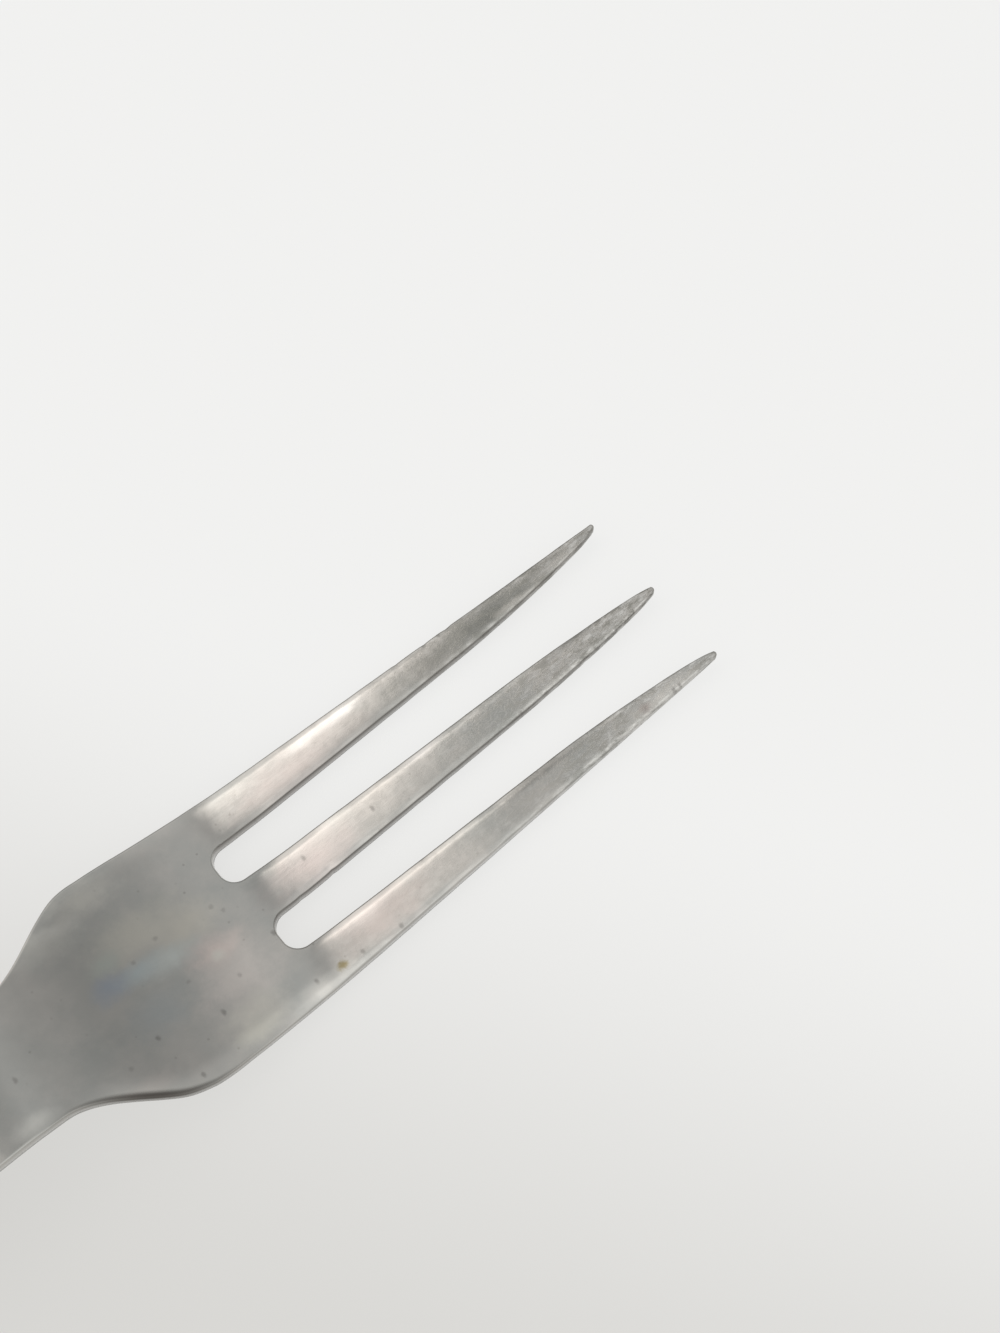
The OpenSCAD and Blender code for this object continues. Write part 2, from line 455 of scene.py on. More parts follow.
def hole_loop(x, radius, level):
    turns = [2 * math.pi * i / hole_sides for i in range(hole_sides)]
    return [hole_centre(x, level) + radius * Vector((math.cos(turn), math.sin(turn))) for turn in turns]


grid_step = 1.3
grid_clear = 0.5


def grid(end, margin, step):
    """Rows of spots for loose vertices, from the butt to an end, a margin inside the outline."""
    spots = []
    for x in stations(x_butt + margin + step, end - margin, step):
        half = half_width(x) - margin - grid_clear
        count = max(1, int(half / step))
        spots += [Vector((x, half * i / count)) for i in range(-count, count + 1)]
    return spots


def clear_of(holes, spots):
    """The spots that lie clear of the holes, which are given as centres and radii."""
    return [spot for spot in spots if all((spot - centre).length > r + grid_clear for centre, r in holes)]


def blade_grid(margin):
    """Spots for loose vertices inside the palm, neck and tang, and along the middles of the tines."""
    spots = grid(x_slots, margin, grid_step)
    for x in stations(x_slots - margin, x_drawn, grid_step):
        outer_y = half_width(x) - outer_tine(x) / 2
        spots += [Vector((x, y)) for y in (-outer_y, 0, outer_y)]
    return clear_of([(Vector((x, 0)), radius) for x, radius in tang_holes], spots)


middle_point = (x_points, 0, point_w / 2)
outline = outlined([(x_butt, 0, broad)] + blade_side(1) + [middle_point] + blade_side(-1)[::-1])
worn_outline = []
for spot, outward, room in outline:
    worn_outline.append((spot - outward * edge_loss(spot) * bare(spot.x), outward, room))

bm = bmesh.new()
# Each vertex's darkness: the sheared steel's own, with painted shade in the slots and the hollow
wall = bm.verts.layers.float.new("wall")
bevelled = bm.verts.layers.float.new("bevelled")


def blade_face(depths, height, drop, level):
    """One face of the blade: rings in from its outline, holes, and triangles between them."""
    rings = []
    for depth in depths:
        ring = []
        for spot, outward, room in worn_outline:
            x, y = spot - outward * depth * room
            vert = bm.verts.new((x, y, height(x, y) + drop(spot, depth) * room))
            vert[wall] = rim_dullness_and_shade(spot, depth * room)
            on_bevel = ease(along(depth, bevel_reach + bevel_fade, bevel_reach - bevel_fade))
            vert[bevelled] = on_tines(x) * on_bevel
            ring.append(vert)
        rings.append(ring)
    strips(bm, rings)
    loops = []
    for x, radius in tang_holes:
        loops.append([bm.verts.new((*spot, height(*spot))) for spot in hole_loop(x, radius, level)])
    loose = [bm.verts.new((*spot, height(*spot))) for spot in blade_grid(depths[-1])]
    fill(bm, rings[-1], loops, loose)
    return rings[0], loops


top_edge, top_loops = blade_face(
    top_depths,
    top_height,
    lambda spot, depth: -top_drop(spot, depth),
    sheet_t / 2,
)
under_edge, under_loops = blade_face(
    under_depths,
    lambda x, y: sheet_height(x, sheet_t),
    lambda spot, depth: bare(spot.x) * fallen(depth, under_edge_r),
    -sheet_t / 2,
)
strips(bm, [top_edge, under_edge])
for top_loop, under_loop in zip(top_loops, under_loops):
    strips(bm, [top_loop, under_loop])
    sharpen(bm, top_loop)
    sharpen(bm, under_loop)
for ring, share in ((top_edge, 1), (under_edge, under_dullness)):
    for vert, (spot, _, _) in zip(ring, worn_outline):
        vert[wall] = share * edge_dullness_and_shade(spot)
blade = finished("blade", bm)


def linear(colour):
    """An sRGB hex colour as linear red, green, blue and alpha."""
    shares = [int(colour[i:i + 2], 16) / 255 for i in (1, 3, 5)]
    return [s / 12.92 if s <= 0.04045 else ((s + 0.055) / 1.055) ** 2.4 for s in shares] + [1]


def add_node(tree, kind, inputs=None, **settings):
    """A node with its settings. Each input takes a value, or the socket that is linked to it."""
    made = tree.nodes.new(kind)
    for name, value in settings.items():
        setattr(made, name, value)
    for socket, value in (inputs or {}).items():
        if isinstance(value, bpy.types.NodeSocket):
            tree.links.new(value, made.inputs[socket])
        else:
            made.inputs[socket].default_value = value
    return made


# Places of the colour sockets on a mix node
MIX_A, MIX_B, MIX_OUT = 6, 7, 2

# Satin stainless steel: a bright grey metal whose polish has gone cloudy, with fine scratches along the fork
# that blur what it mirrors, scuffs that thicken towards the points, faint stains and small pits. Painted
# highlights lighten a few patches, and painted shade darkens the edges in the slots and the hollow, and one
# notch.
steel = bpy.data.materials.new("worn satin stainless steel")
steel.use_nodes = True
tree = steel.node_tree
steel_shader = tree.nodes["Principled BSDF"]
place = add_node(tree, "ShaderNodeTexCoord").outputs["Object"]

# Clouds in the polish, about 9 mm across
clouds = add_node(tree, "ShaderNodeTexNoise", {"Vector": place, "Scale": 1 / (9 * MM), "Detail": 3})
cloud_share = add_node(
    tree, "ShaderNodeMapRange", {"Value": clouds.outputs["Fac"], "From Min": 0.35, "From Max": 0.65}
).outputs["Result"]
tone = add_node(
    tree,
    "ShaderNodeMix",
    {"Factor": cloud_share, MIX_A: linear("#C2C2BE"), MIX_B: linear("#CDCAC5")},
    data_type="RGBA",
).outputs[MIX_OUT]

# What covers the polish, with the painted highlights and shade, from the lowest layer up: the share that it
# covers, and its colour
layers = []

# Smudges about 3 mm across
smudges = add_node(
    tree, "ShaderNodeTexNoise", {"Vector": place, "Scale": 1 / (3 * MM), "Detail": 5, "Roughness": 0.62}
)
smudge_share = add_node(
    tree,
    "ShaderNodeMapRange",
    {"Value": smudges.outputs["Fac"], "From Min": 0.42, "From Max": 0.72, "To Max": 0.4},
).outputs["Result"]
layers.append((smudge_share, "#D8D3CD"))

# Scuffs about 2.2 mm long and 0.8 mm wide, on the tines only, and thickest at the points
scuff_from = x_heel + 13
scuff_to = x_points - 9
root_scuff_len = 6
scuff_place = add_node(
    tree, "ShaderNodeMapping", {"Vector": place, "Scale": (1 / (2.2 * MM), 1 / (0.8 * MM), 1 / (0.8 * MM))}
).outputs["Vector"]
scuffs = add_node(
    tree, "ShaderNodeTexNoise", {"Vector": scuff_place, "Scale": 1, "Detail": 4, "Roughness": 0.76}
)
where = add_node(tree, "ShaderNodeSeparateXYZ", {"Vector": place})
towards_points = add_node(
    tree,
    "ShaderNodeMapRange",
    {"Value": where.outputs["X"], "From Min": scuff_from * MM, "From Max": scuff_to * MM},
).outputs["Result"]
past_roots = add_node(
    tree,
    "ShaderNodeMapRange",
    {
        "Value": where.outputs["X"],
        "From Min": x_slots * MM,
        "From Max": (x_slots + root_scuff_len) * MM,
        "To Max": 0.13,
    },
).outputs["Result"]
scuffed = add_node(
    tree, "ShaderNodeMath", {0: towards_points, 1: past_roots}, operation="MAXIMUM"
).outputs["Value"]
scuff_mask = add_node(
    tree,
    "ShaderNodeMapRange",
    {"Value": scuffs.outputs["Fac"], "From Min": 0.49, "From Max": 0.58, "To Max": 0.85},
).outputs["Result"]
scuff_share = add_node(
    tree, "ShaderNodeMath", {0: scuff_mask, 1: scuffed}, operation="MULTIPLY"
).outputs["Value"]
layers.append((scuff_share, "#908F89"))
gleam_mask = add_node(
    tree,
    "ShaderNodeMapRange",
    {"Value": scuffs.outputs["Fac"], "From Min": 0.46, "From Max": 0.38, "To Max": 0.8},
).outputs["Result"]
gleam_share = add_node(
    tree, "ShaderNodeMath", {0: gleam_mask, 1: scuffed}, operation="MULTIPLY"
).outputs["Value"]
layers.append((gleam_share, "#F4F2EE"))

# Specks of dirt in the polish, up to 0.4 mm across, in about every eighth cell of a 2 mm pattern
specks = add_node(
    tree, "ShaderNodeTexVoronoi", {"Vector": place, "Scale": 1 / (2 * MM)}, voronoi_dimensions="2D"
)
speck_luck = add_node(tree, "ShaderNodeSeparateColor", {"Color": specks.outputs["Color"]}).outputs["Red"]
speck_strength = add_node(
    tree, "ShaderNodeMapRange", {"Value": speck_luck, "From Min": 0.88, "From Max": 1, "To Max": 0.4}
).outputs["Result"]
speck_share = add_node(
    tree,
    "ShaderNodeMapRange",
    {"Value": specks.outputs["Distance"], "From Min": 0.1, "From Max": 0.04, "To Max": speck_strength},
).outputs["Result"]
layers.append((speck_share, "#8A8781"))

# Stains and painted highlights, as soft patches: place, reach along and across the fork, colour and
# strength.
# The three pale patches along the left tine's bevel are painted highlights; the others lighten or darken
# the steel in soft spots, and one is a rust spot.
stains_and_highlights = [
    ((24, 0), (12, 18), "#B0B0AC", 0.45),
    ((24, -6.8), (3.4, 1.6), "#E2E0DA", 0.7),
    ((36, 9.8), (5.5, 2.8), "#E0DED7", 0.8),
    ((42, 12.4), (6, 2.8), "#E6E3DB", 0.9),
    ((37.8, 10.7), (3.4, 1.5), "#F4F1EA", 0.6),
    ((45, 4.9), (8, 4), "#DEDACF", 0.8),
    ((50, 2.4), (5.5, 3.2), "#DED9CE", 0.8),
    ((39.7, 3.9), (3, 1.8), "#CDD3CB", 0.7),
    ((38.9, 1.2), (3.2, 2.4), "#B9C0CA", 0.9),
    ((42.4, 0.9), (4, 1.9), "#CCD5D6", 0.9),
    ((46.3, 0.3), (4.4, 2.2), "#DADEDA", 0.9),
    ((41.5, -4.5), (5, 3.6), "#BFC4C5", 0.6),
    ((36.5, -11), (4, 1.6), "#DAD4CE", 0.7),
    ((50.8, -2.2), (4.6, 3), "#EEDFD8", 0.9),
    ((51, -6.4), (7, 5), "#E8E0DA", 0.9),
    ((50.5, -2.7), (1.3, 1), "#F0EDE4", 0.7),
    ((49.6, -11), (6, 3), "#E8E3DA", 0.9),
    ((49, -12.9), (4.2, 1.6), "#ECE8DC", 0.7),
    ((57.4, -13.4), (4, 1.6), "#E0DCD6", 0.7),
    ((71, 10.2), (13, 4), "#C6BCB8", 0.65),
    # The next three are painted highlights along the left tine's bevel
    ((74.8, 12.6), (4.4, 1), "#F4F0EC", 0.7),
    ((63.5, 12.5), (3.6, 1.3), "#E4E0DA", 0.35),
    ((80.5, 12.5), (5, 1.2), "#FBF9F6", 0.9),
    ((80.5, 9.8), (5.5, 2.4), "#B8B4B0", 0.5),
    ((84.8, 1.9), (4, 0.9), "#ECE9E6", 0.7),
    ((107.5, 1.3), (6, 0.6), "#8F8E8A", 0.6),
    ((95.5, -9.5), (9, 0.9), "#8E8D89", 0.7),
    ((66, -0.6), (9, 4), "#DACECA", 0.7),
    ((68.5, -11), (9, 3.4), "#C9BDB8", 0.7),
    ((66.5, -9.6), (6, 1.6), "#E4DCD8", 0.5),
    ((113, -11.8), (9.5, 1.7), "#ECE9E4", 0.6),
    ((61.1, -12.7), (0.9, 0.8), "#A0936E", 0.9),
    ((109.6, -11.5), (1.2, 1), "#B0A5A0", 0.7),
    ((102.5, 10.8), (21, 2.6), "#8D8D87", 0.8),
    ((107.5, 9.9), (6.5, 0.7), "#DEDAD4", 0.5),
    ((115, 10.7), (5, 0.9), "#E6E2DC", 0.5),
]
# Pits in the polish, some deep and some faint: place. The deep one at 57.2, -4.5 is painted shade, the dark
# of a notch at the end of the right slot
pits_and_notch_shade = [
    (65.5, 0.6), (39.7, -6.8), (47.1, -8.7), (25.1, -1.6), (41.2, -13.3), (63.9, -12.9), (57.6, -12.3),
    (96.3, 12.8), (94, 12.8), (97.6, -2.1), (114, -1.3), (75.7, 0.2), (69.3, -13.4), (57.2, -4.5),
    (114, -12.1), (115, -12),
]
faint_pits = [
    (42.5, 2.3), (51.1, -6.2), (46.1, -3.3), (46.1, 3.3), (54.3, 1.4), (53.4, 2.6), (35.4, -8),
    (104, -0.8), (74.8, -2.6), (76.3, -8.6),
]
pit_and_shade_colour = "#979490"
marks = (
    stains_and_highlights
    + [(spot, (0.36, 0.52), pit_and_shade_colour, 0.65) for spot in pits_and_notch_shade]
    + [(spot, (0.4, 0.4), pit_and_shade_colour, 0.35) for spot in faint_pits]
)
# The outlines are ragged, coarsely on large marks and finely on those that reach less than this
fine_below = 1
ragged_coarse = add_node(
    tree, "ShaderNodeTexNoise", {"Vector": place, "Scale": 1 / (2.6 * MM), "Detail": 5, "Roughness": 0.64}
)
ragged_fine = add_node(tree, "ShaderNodeTexNoise", {"Vector": place, "Scale": 1 / (0.5 * MM), "Detail": 2})
shifts = []
for ragged in (ragged_coarse, ragged_fine):
    shift = add_node(
        tree, "ShaderNodeVectorMath", {0: ragged.outputs["Color"], 1: (0.5, 0.5, 0.5)}, operation="SUBTRACT"
    )
    shifts.append(shift.outputs["Vector"])
coarse_shift, fine_shift = shifts
# In reaches from a mark's middle: where it has faded out, and where a small one is at its full strength
mark_end = 1.1
pit_core = 0.2
for spot, (length, width), colour, strength in marks:
    fine = length < fine_below
    from_middle = add_node(
        tree, "ShaderNodeVectorMath", {0: place, 1: (spot[0] * MM, spot[1] * MM, 0)}, operation="SUBTRACT"
    ).outputs["Vector"]
    in_reaches = add_node(
        tree,
        "ShaderNodeVectorMath",
        {
            0: from_middle,
            1: (1 / (length * MM), 1 / (width * MM), 0),
            2: fine_shift if fine else coarse_shift,
        },
        operation="MULTIPLY_ADD",
    ).outputs["Vector"]
    apart = add_node(tree, "ShaderNodeVectorMath", {0: in_reaches}, operation="LENGTH").outputs["Value"]
    share = add_node(
        tree,
        "ShaderNodeMapRange",
        {"Value": apart, "From Min": mark_end, "From Max": pit_core if fine else 0, "To Max": strength},
        interpolation_type="SMOOTHSTEP",
    ).outputs["Result"]
    layers.append((share, colour))

# The sheared edges are duller and darker than the faces; painted shade darkens them more in slots and hollow
edge_dark_and_shade = add_node(tree, "ShaderNodeAttribute", attribute_name="wall").outputs["Fac"]
layers.append((edge_dark_and_shade, "#5E5A56"))
for share, colour in layers:
    tone = add_node(
        tree, "ShaderNodeMix", {"Factor": share, MIX_A: tone, MIX_B: linear(colour)}, data_type="RGBA"
    ).outputs[MIX_OUT]
tree.links.new(tone, steel_shader.inputs["Base Color"])
steel_shader.inputs["Metallic"].default_value = 1

# The steel is rougher where it is cloudy, worn or scuffed, and on the sheared edges
steel_roughness = add_node(
    tree, "ShaderNodeMapRange", {"Value": cloud_share, "To Min": 0.08, "To Max": 0.11}
).outputs["Result"]
bevel_share = add_node(tree, "ShaderNodeAttribute", attribute_name="bevelled").outputs["Fac"]
worn_points = add_node(
    tree, "ShaderNodeMath", {0: bevel_share, 1: towards_points, 2: towards_points}, operation="MULTIPLY_ADD"
).outputs["Value"]
for share, rougher in ((worn_points, 0.1), (scuff_share, 0.25), (edge_dark_and_shade, 0.25)):
    steel_roughness = add_node(
        tree, "ShaderNodeMath", {0: share, 1: rougher, 2: steel_roughness}, operation="MULTIPLY_ADD"
    ).outputs["Value"]
tree.links.new(steel_roughness, steel_shader.inputs["Roughness"])

# Polishing scratches along the fork, 7 mm long and drawn 0.35 mm wide, coarser than real, so that they show
lengthwise = add_node(
    tree, "ShaderNodeMapping", {"Vector": place, "Scale": (1 / (7 * MM), 1 / (0.35 * MM), 1 / (0.35 * MM))}
).outputs["Vector"]
scratches = add_node(
    tree, "ShaderNodeTexNoise", {"Vector": lengthwise, "Scale": 1, "Detail": 2}
).outputs["Fac"]
# Faint dents, about 2 mm across
dents = add_node(
    tree, "ShaderNodeTexNoise", {"Vector": place, "Scale": 1 / (2 * MM), "Detail": 1}
).outputs["Fac"]
# Each bump lies on the one before: its shape, strength and height in millimetres
under_bump = {}
for shape, strength, height in ((scratches, 0.5, 0.004), (dents, 1, 0.008), (scuff_share, 0.5, 0.014)):
    bump = add_node(
        tree,
        "ShaderNodeBump",
        {"Height": shape, "Strength": strength, "Distance": height * MM, **under_bump},
    )
    under_bump = {"Normal": bump.outputs["Normal"]}
tree.links.new(bump.outputs["Normal"], steel_shader.inputs["Normal"])

blade.data.materials.append(steel)
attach(blade, "root")
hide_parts("fork_blade")


# The scales: two slabs of walnut, one on each face of the tang.
# They are sawn to the tang's outline, drilled for the rivets and the hang hole, riveted on, and then shaped
# and sanded with the tang between them, so that their outlines are flush with it. Hands have oiled them.
scale_t = 6.5
scale_crown = 2.2
scale_bevel = 4.5
scale_over = 1
scale_inner = sheet_t / 2
scale_outer = scale_inner + scale_t
crown_r = ((handle_butt_w / 2) ** 2 + scale_crown ** 2) / (2 * scale_crown)
front_slope = (scale_t + scale_over) / scale_bevel
front_blend = 2.6
rivet_head_r = 4
rivet_head_t = 1.6
rivet_seat = scale_outer - rivet_head_t
scale_corner_r = 1.6
scale_edge_step = 0.9
scale_grid_step = 1.69
# The outer edges are rounded, where the scale is thin by no more than a share of its height
shoulder_r = 2.2
shoulder_share = 0.6
scale_depths = [0, 0.06, 0.2, 0.45, 0.8, 1.3, 2.2]
# The inner edge is eased a little, which draws a fine line along the tang
eased_edge = 0.15
eased_rise = 0.03
# The hang hole's edge is eased too: steps out from its radius, and down from the top
hang_eased = [(0.6, 0), (0.3, 0.08), (0.1, 0.3), (0, 0.7)]


def crown_level(y):
    """Level of a scale's rounded top over the middle of the tang."""
    return scale_outer - crown_r + math.sqrt(crown_r ** 2 - y ** 2)


def scale_level(x, y):
    """Level of a scale's top: its crown, blended into the slope at its front."""
    crown, slope = crown_level(y), scale_inner + front_slope * (x_front - x)
    share = min(1, max(0, 0.5 + 0.5 * (slope - crown) / front_blend))
    return ramp(slope, crown, share) - front_blend * share * (1 - share)


def on_handle(spot, level):
    """A point in the handle, a level over or under the middle of the tang."""
    return (*spot, sheet_height(spot[0], sheet_t / 2) + level / math.cos(handle_tilt))


def scale_outline():
    """Clockwise outline of a scale: both sides and the round butt, and straight across its front."""
    side = butt_x + stations(x_round, x_front - scale_corner_r, scale_edge_step)
    left = [(x, half_width(x), broad) for x in side]
    for turn in quarter_turn(arc_steps):
        x = x_front - scale_corner_r * (1 - math.sin(turn))
        y = half_width(x_front) - scale_corner_r * (1 - math.cos(turn))
        left.append((x, y, scale_corner_r / 2))
    left += [(x_front, y, broad) for y in stations(left[-1][1], 0, scale_edge_step)[1:]]
    right = [(x, -y, half) for x, y, half in reversed(left)]
    return outlined([(x_butt, 0, broad)] + left + [(x_front, 0, broad)] + right)


def scale_hole(bm, x, steps, side):
    """The wall of a hole through a scale, as loops from its top to the tang.

    Each step has its radius, and its depth under the top, or none on the floor of a counterbore.
    """
    loops = []
    for radius, down in steps:
        on_floor = down is None
        loop = []
        for spot in hole_loop(x, radius, side * (rivet_seat if on_floor else scale_outer)):
            level = rivet_seat if on_floor else scale_level(*spot) - down
            loop.append(bm.verts.new(on_handle(spot, side * level)))
        loops.append(loop)
    foot = hole_loop(x, steps[-1][0], side * scale_inner)
    loops.append([bm.verts.new(on_handle(spot, side * scale_inner)) for spot in foot])
    strips(bm, loops)
    return loops


def scale(name, side):
    """A scale on the upper face of the tang, or on its lower face where side is -1."""
    bm = bmesh.new()
    rim = scale_outline()
    inner_ring = []
    for spot, outward, _ in rim:
        inner_ring.append(bm.verts.new(on_handle(spot - outward * eased_edge, side * scale_inner)))
    rings = [inner_ring]
    for depth in scale_depths:
        ring = []
        for spot, outward, room in rim:
            inside = spot - outward * depth * room
            level = scale_level(*inside)
            level -= min(fallen(depth, shoulder_r), shoulder_share * (level - scale_inner))
            ring.append(bm.verts.new(on_handle(inside, side * max(level, scale_inner + eased_rise))))
        rings.append(ring)
    strips(bm, rings)

    top_loops, top_holes, inner_loops = [], [], []
    for x, radius in tang_holes:
        head_r = rivet_head_r + rivet_gap
        steps = [(head_r, 0), (head_r, None), (radius, None)]
        if x == hang_x:
            steps = [(radius + out, down) for out, down in hang_eased]
        loops = scale_hole(bm, x, steps, side)
        if x != hang_x:
            for loop in loops:
                sharpen(bm, loop)
        top_loops.append(loops[0])
        top_holes.append((hole_centre(x, side * scale_outer), steps[0][0]))
        inner_loops.append(loops[-1])

    spots = clear_of(top_holes, grid(x_front, scale_depths[-1], scale_grid_step))
    loose = [bm.verts.new(on_handle(spot, side * scale_level(*spot))) for spot in spots]
    fill(bm, rings[-1], top_loops, loose)
    fill(bm, inner_ring, inner_loops, [])
    return finished(name, bm)


# Oiled walnut: brown wood with darker growth lines along the handle and short open pores, its oil gone dull.
walnut = bpy.data.materials.new("oiled walnut")
walnut.use_nodes = True
tree = walnut.node_tree
walnut_shader = tree.nodes["Principled BSDF"]
place = add_node(tree, "ShaderNodeTexCoord").outputs["Object"]

# Growth lines a few millimetres apart, which wander over 70 mm of the handle's length
grain_place = add_node(
    tree, "ShaderNodeMapping", {"Vector": place, "Scale": (1 / (70 * MM), 1 / (7 * MM), 1 / (7 * MM))}
).outputs["Vector"]
grain = add_node(
    tree,
    "ShaderNodeTexNoise",
    {"Vector": grain_place, "Scale": 1, "Detail": 5, "Roughness": 0.6, "Distortion": 0.6},
).outputs["Fac"]
grain_lines = add_node(tree, "ShaderNodeMath", {0: grain, 1: 7}, operation="MULTIPLY").outputs["Value"]
grain_wave = add_node(
    tree, "ShaderNodeMath", {0: grain_lines, 1: 1}, operation="PINGPONG"
).outputs["Value"]
heartwood = add_node(
    tree,
    "ShaderNodeMix",
    {"Factor": grain_wave, MIX_A: linear("#5A3B26"), MIX_B: linear("#80583A")},
    data_type="RGBA",
).outputs[MIX_OUT]
warm_share = add_node(
    tree, "ShaderNodeMapRange", {"Value": grain, "To Min": 0.7, "To Max": 1}
).outputs["Result"]
warm = add_node(
    tree,
    "ShaderNodeMix",
    {"Factor": warm_share, MIX_A: linear("#3E2818"), MIX_B: heartwood},
    data_type="RGBA",
).outputs[MIX_OUT]

# Open pores 5 mm long, drawn 0.45 mm wide, coarser than real, so that they show
pore_place = add_node(
    tree, "ShaderNodeMapping", {"Vector": place, "Scale": (1 / (5 * MM), 1 / (0.45 * MM), 1 / (0.45 * MM))}
).outputs["Vector"]
pore_noise = add_node(
    tree, "ShaderNodeTexNoise", {"Vector": pore_place, "Scale": 1, "Detail": 1}
).outputs["Fac"]
pores = add_node(
    tree, "ShaderNodeMapRange", {"Value": pore_noise, "From Min": 0.6, "From Max": 0.7}
).outputs["Result"]
pored = add_node(
    tree, "ShaderNodeMix", {"Factor": pores, MIX_A: warm, MIX_B: linear("#2C1B10")}, data_type="RGBA"
).outputs[MIX_OUT]
tree.links.new(pored, walnut_shader.inputs["Base Color"])
walnut_roughness = add_node(
    tree, "ShaderNodeMapRange", {"Value": grain, "To Min": 0.36, "To Max": 0.52}
).outputs["Result"]
tree.links.new(walnut_roughness, walnut_shader.inputs["Roughness"])
walnut_shader.inputs["IOR"].default_value = 1.46
pore_bump = add_node(
    tree, "ShaderNodeBump", {"Strength": 0.7, "Distance": 0.06 * MM, "Height": pores}, invert=True
)
tree.links.new(pore_bump.outputs["Normal"], walnut_shader.inputs["Normal"])

for name, side in (("upper_wood_scale", 1), ("lower_wood_scale", -1)):
    slab = scale(name, side)
    slab.data.materials.append(walnut)
    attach(slab, "root")
    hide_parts("upper_scale" if side == 1 else "lower_scale")


# The rivets: three cutler's rivets of brass, each a solid half pressed into a hollow half.
# Their heads sit in counterbores in the scales and were ground down with the wood, so that their faces
# follow its crown. The brass has dulled, and is darkest round the rims.
rivet_pin_r = 1.6
rivet_grip_gap = 0.02
rivet_end_room = 0.8
rim_r = 0.3
dark_rim = 1.1
rivet_sides = 64
sharp_angle = math.radians(40)

brass = bpy.data.materials.new("dulled brass")
brass.use_nodes = True
tree = brass.node_tree
brass_shader = tree.nodes["Principled BSDF"]
place = add_node(tree, "ShaderNodeTexCoord").outputs["Object"]
# Tarnish in patches about 2 mm across
tarnish = add_node(
    tree, "ShaderNodeTexNoise", {"Vector": place, "Scale": 1 / (1.8 * MM), "Detail": 4}
).outputs["Fac"]
out_from_axis = add_node(tree, "ShaderNodeAttribute", attribute_name="from_axis").outputs["Fac"]
rim_share = add_node(
    tree,
    "ShaderNodeMapRange",
    {
        "Value": out_from_axis,
        "From Min": (rivet_head_r - dark_rim) * MM,
        "From Max": rivet_head_r * MM,
        "To Max": 0.6,
    },
).outputs["Result"]
dull_share = add_node(
    tree, "ShaderNodeMath", {0: tarnish, 1: 0.7, 2: rim_share}, operation="MULTIPLY_ADD"
).outputs["Value"]
brass_tone = add_node(
    tree,
    "ShaderNodeMix",
    {"Factor": dull_share, MIX_A: linear("#D9BC7C"), MIX_B: linear("#8A6A34")},
    data_type="RGBA",
).outputs[MIX_OUT]
tree.links.new(brass_tone, brass_shader.inputs["Base Color"])
brass_shader.inputs["Metallic"].default_value = 1
brass_roughness = add_node(
    tree, "ShaderNodeMapRange", {"Value": tarnish, "To Min": 0.25, "To Max": 0.5}
).outputs["Result"]
tree.links.new(brass_roughness, brass_shader.inputs["Roughness"])
# Sanding lines along the handle over the heads, drawn 0.3 mm wide, coarser than real, so that they show
sanding_place = add_node(
    tree, "ShaderNodeMapping", {"Vector": place, "Scale": (1 / (6 * MM), 1 / (0.3 * MM), 1 / (0.3 * MM))}
).outputs["Vector"]
sanding = add_node(
    tree, "ShaderNodeTexNoise", {"Vector": sanding_place, "Scale": 1, "Detail": 1}
).outputs["Fac"]
sanding_bump = add_node(tree, "ShaderNodeBump", {"Strength": 0.4, "Distance": 0.01 * MM, "Height": sanding})
tree.links.new(sanding_bump.outputs["Normal"], brass_shader.inputs["Normal"])

rivet_tree = bpy.data.node_groups.new("cutlers_rivets", "GeometryNodeTree")
rivet_inputs = {
    "Count": "NodeSocketInt",
    "First place": "NodeSocketVector",
    "Step": "NodeSocketVector",
    "Turn": "NodeSocketVector",
    "Head radius": "NodeSocketFloat",
    "Rim radius": "NodeSocketFloat",
    "Seat level": "NodeSocketFloat",
    "Shank radius": "NodeSocketFloat",
    "Shank end": "NodeSocketFloat",
    "Bore radius": "NodeSocketFloat",
    "Bore end": "NodeSocketFloat",
    "Crown level": "NodeSocketFloat",
    "Crown radius": "NodeSocketFloat",
    "Sides": "NodeSocketInt",
    "Material": "NodeSocketMaterial",
}
sockets = {}
for name, kind in rivet_inputs.items():
    sockets[name] = rivet_tree.interface.new_socket(name, in_out="INPUT", socket_type=kind).identifier
rivet_tree.interface.new_socket("Geometry", in_out="OUTPUT", socket_type="NodeSocketGeometry")
sizes = add_node(rivet_tree, "NodeGroupInput").outputs

# A sheet of vertices: its columns go round the rivet, and its rows down the profile of one half
profile_rows = 11
columns = add_node(rivet_tree, "ShaderNodeMath", {0: sizes["Sides"], 1: 1}, operation="ADD").outputs["Value"]
sheet = add_node(
    rivet_tree,
    "GeometryNodeMeshGrid",
    {"Size X": 1, "Size Y": profile_rows - 1, "Vertices X": columns, "Vertices Y": profile_rows},
).outputs["Mesh"]
at = add_node(
    rivet_tree,
    "ShaderNodeSeparateXYZ",
    {"Vector": add_node(rivet_tree, "GeometryNodeInputPosition").outputs["Position"]},
).outputs
turn = add_node(
    rivet_tree, "ShaderNodeMath", {0: at["X"], 1: 2 * math.pi}, operation="MULTIPLY"
).outputs["Value"]
row = add_node(
    rivet_tree, "ShaderNodeMath", {0: at["Y"], 1: (profile_rows - 1) / 2}, operation="ADD"
).outputs["Value"]
row_index = add_node(
    rivet_tree, "FunctionNodeFloatToInt", {"Float": row}, rounding_mode="ROUND"
).outputs["Integer"]

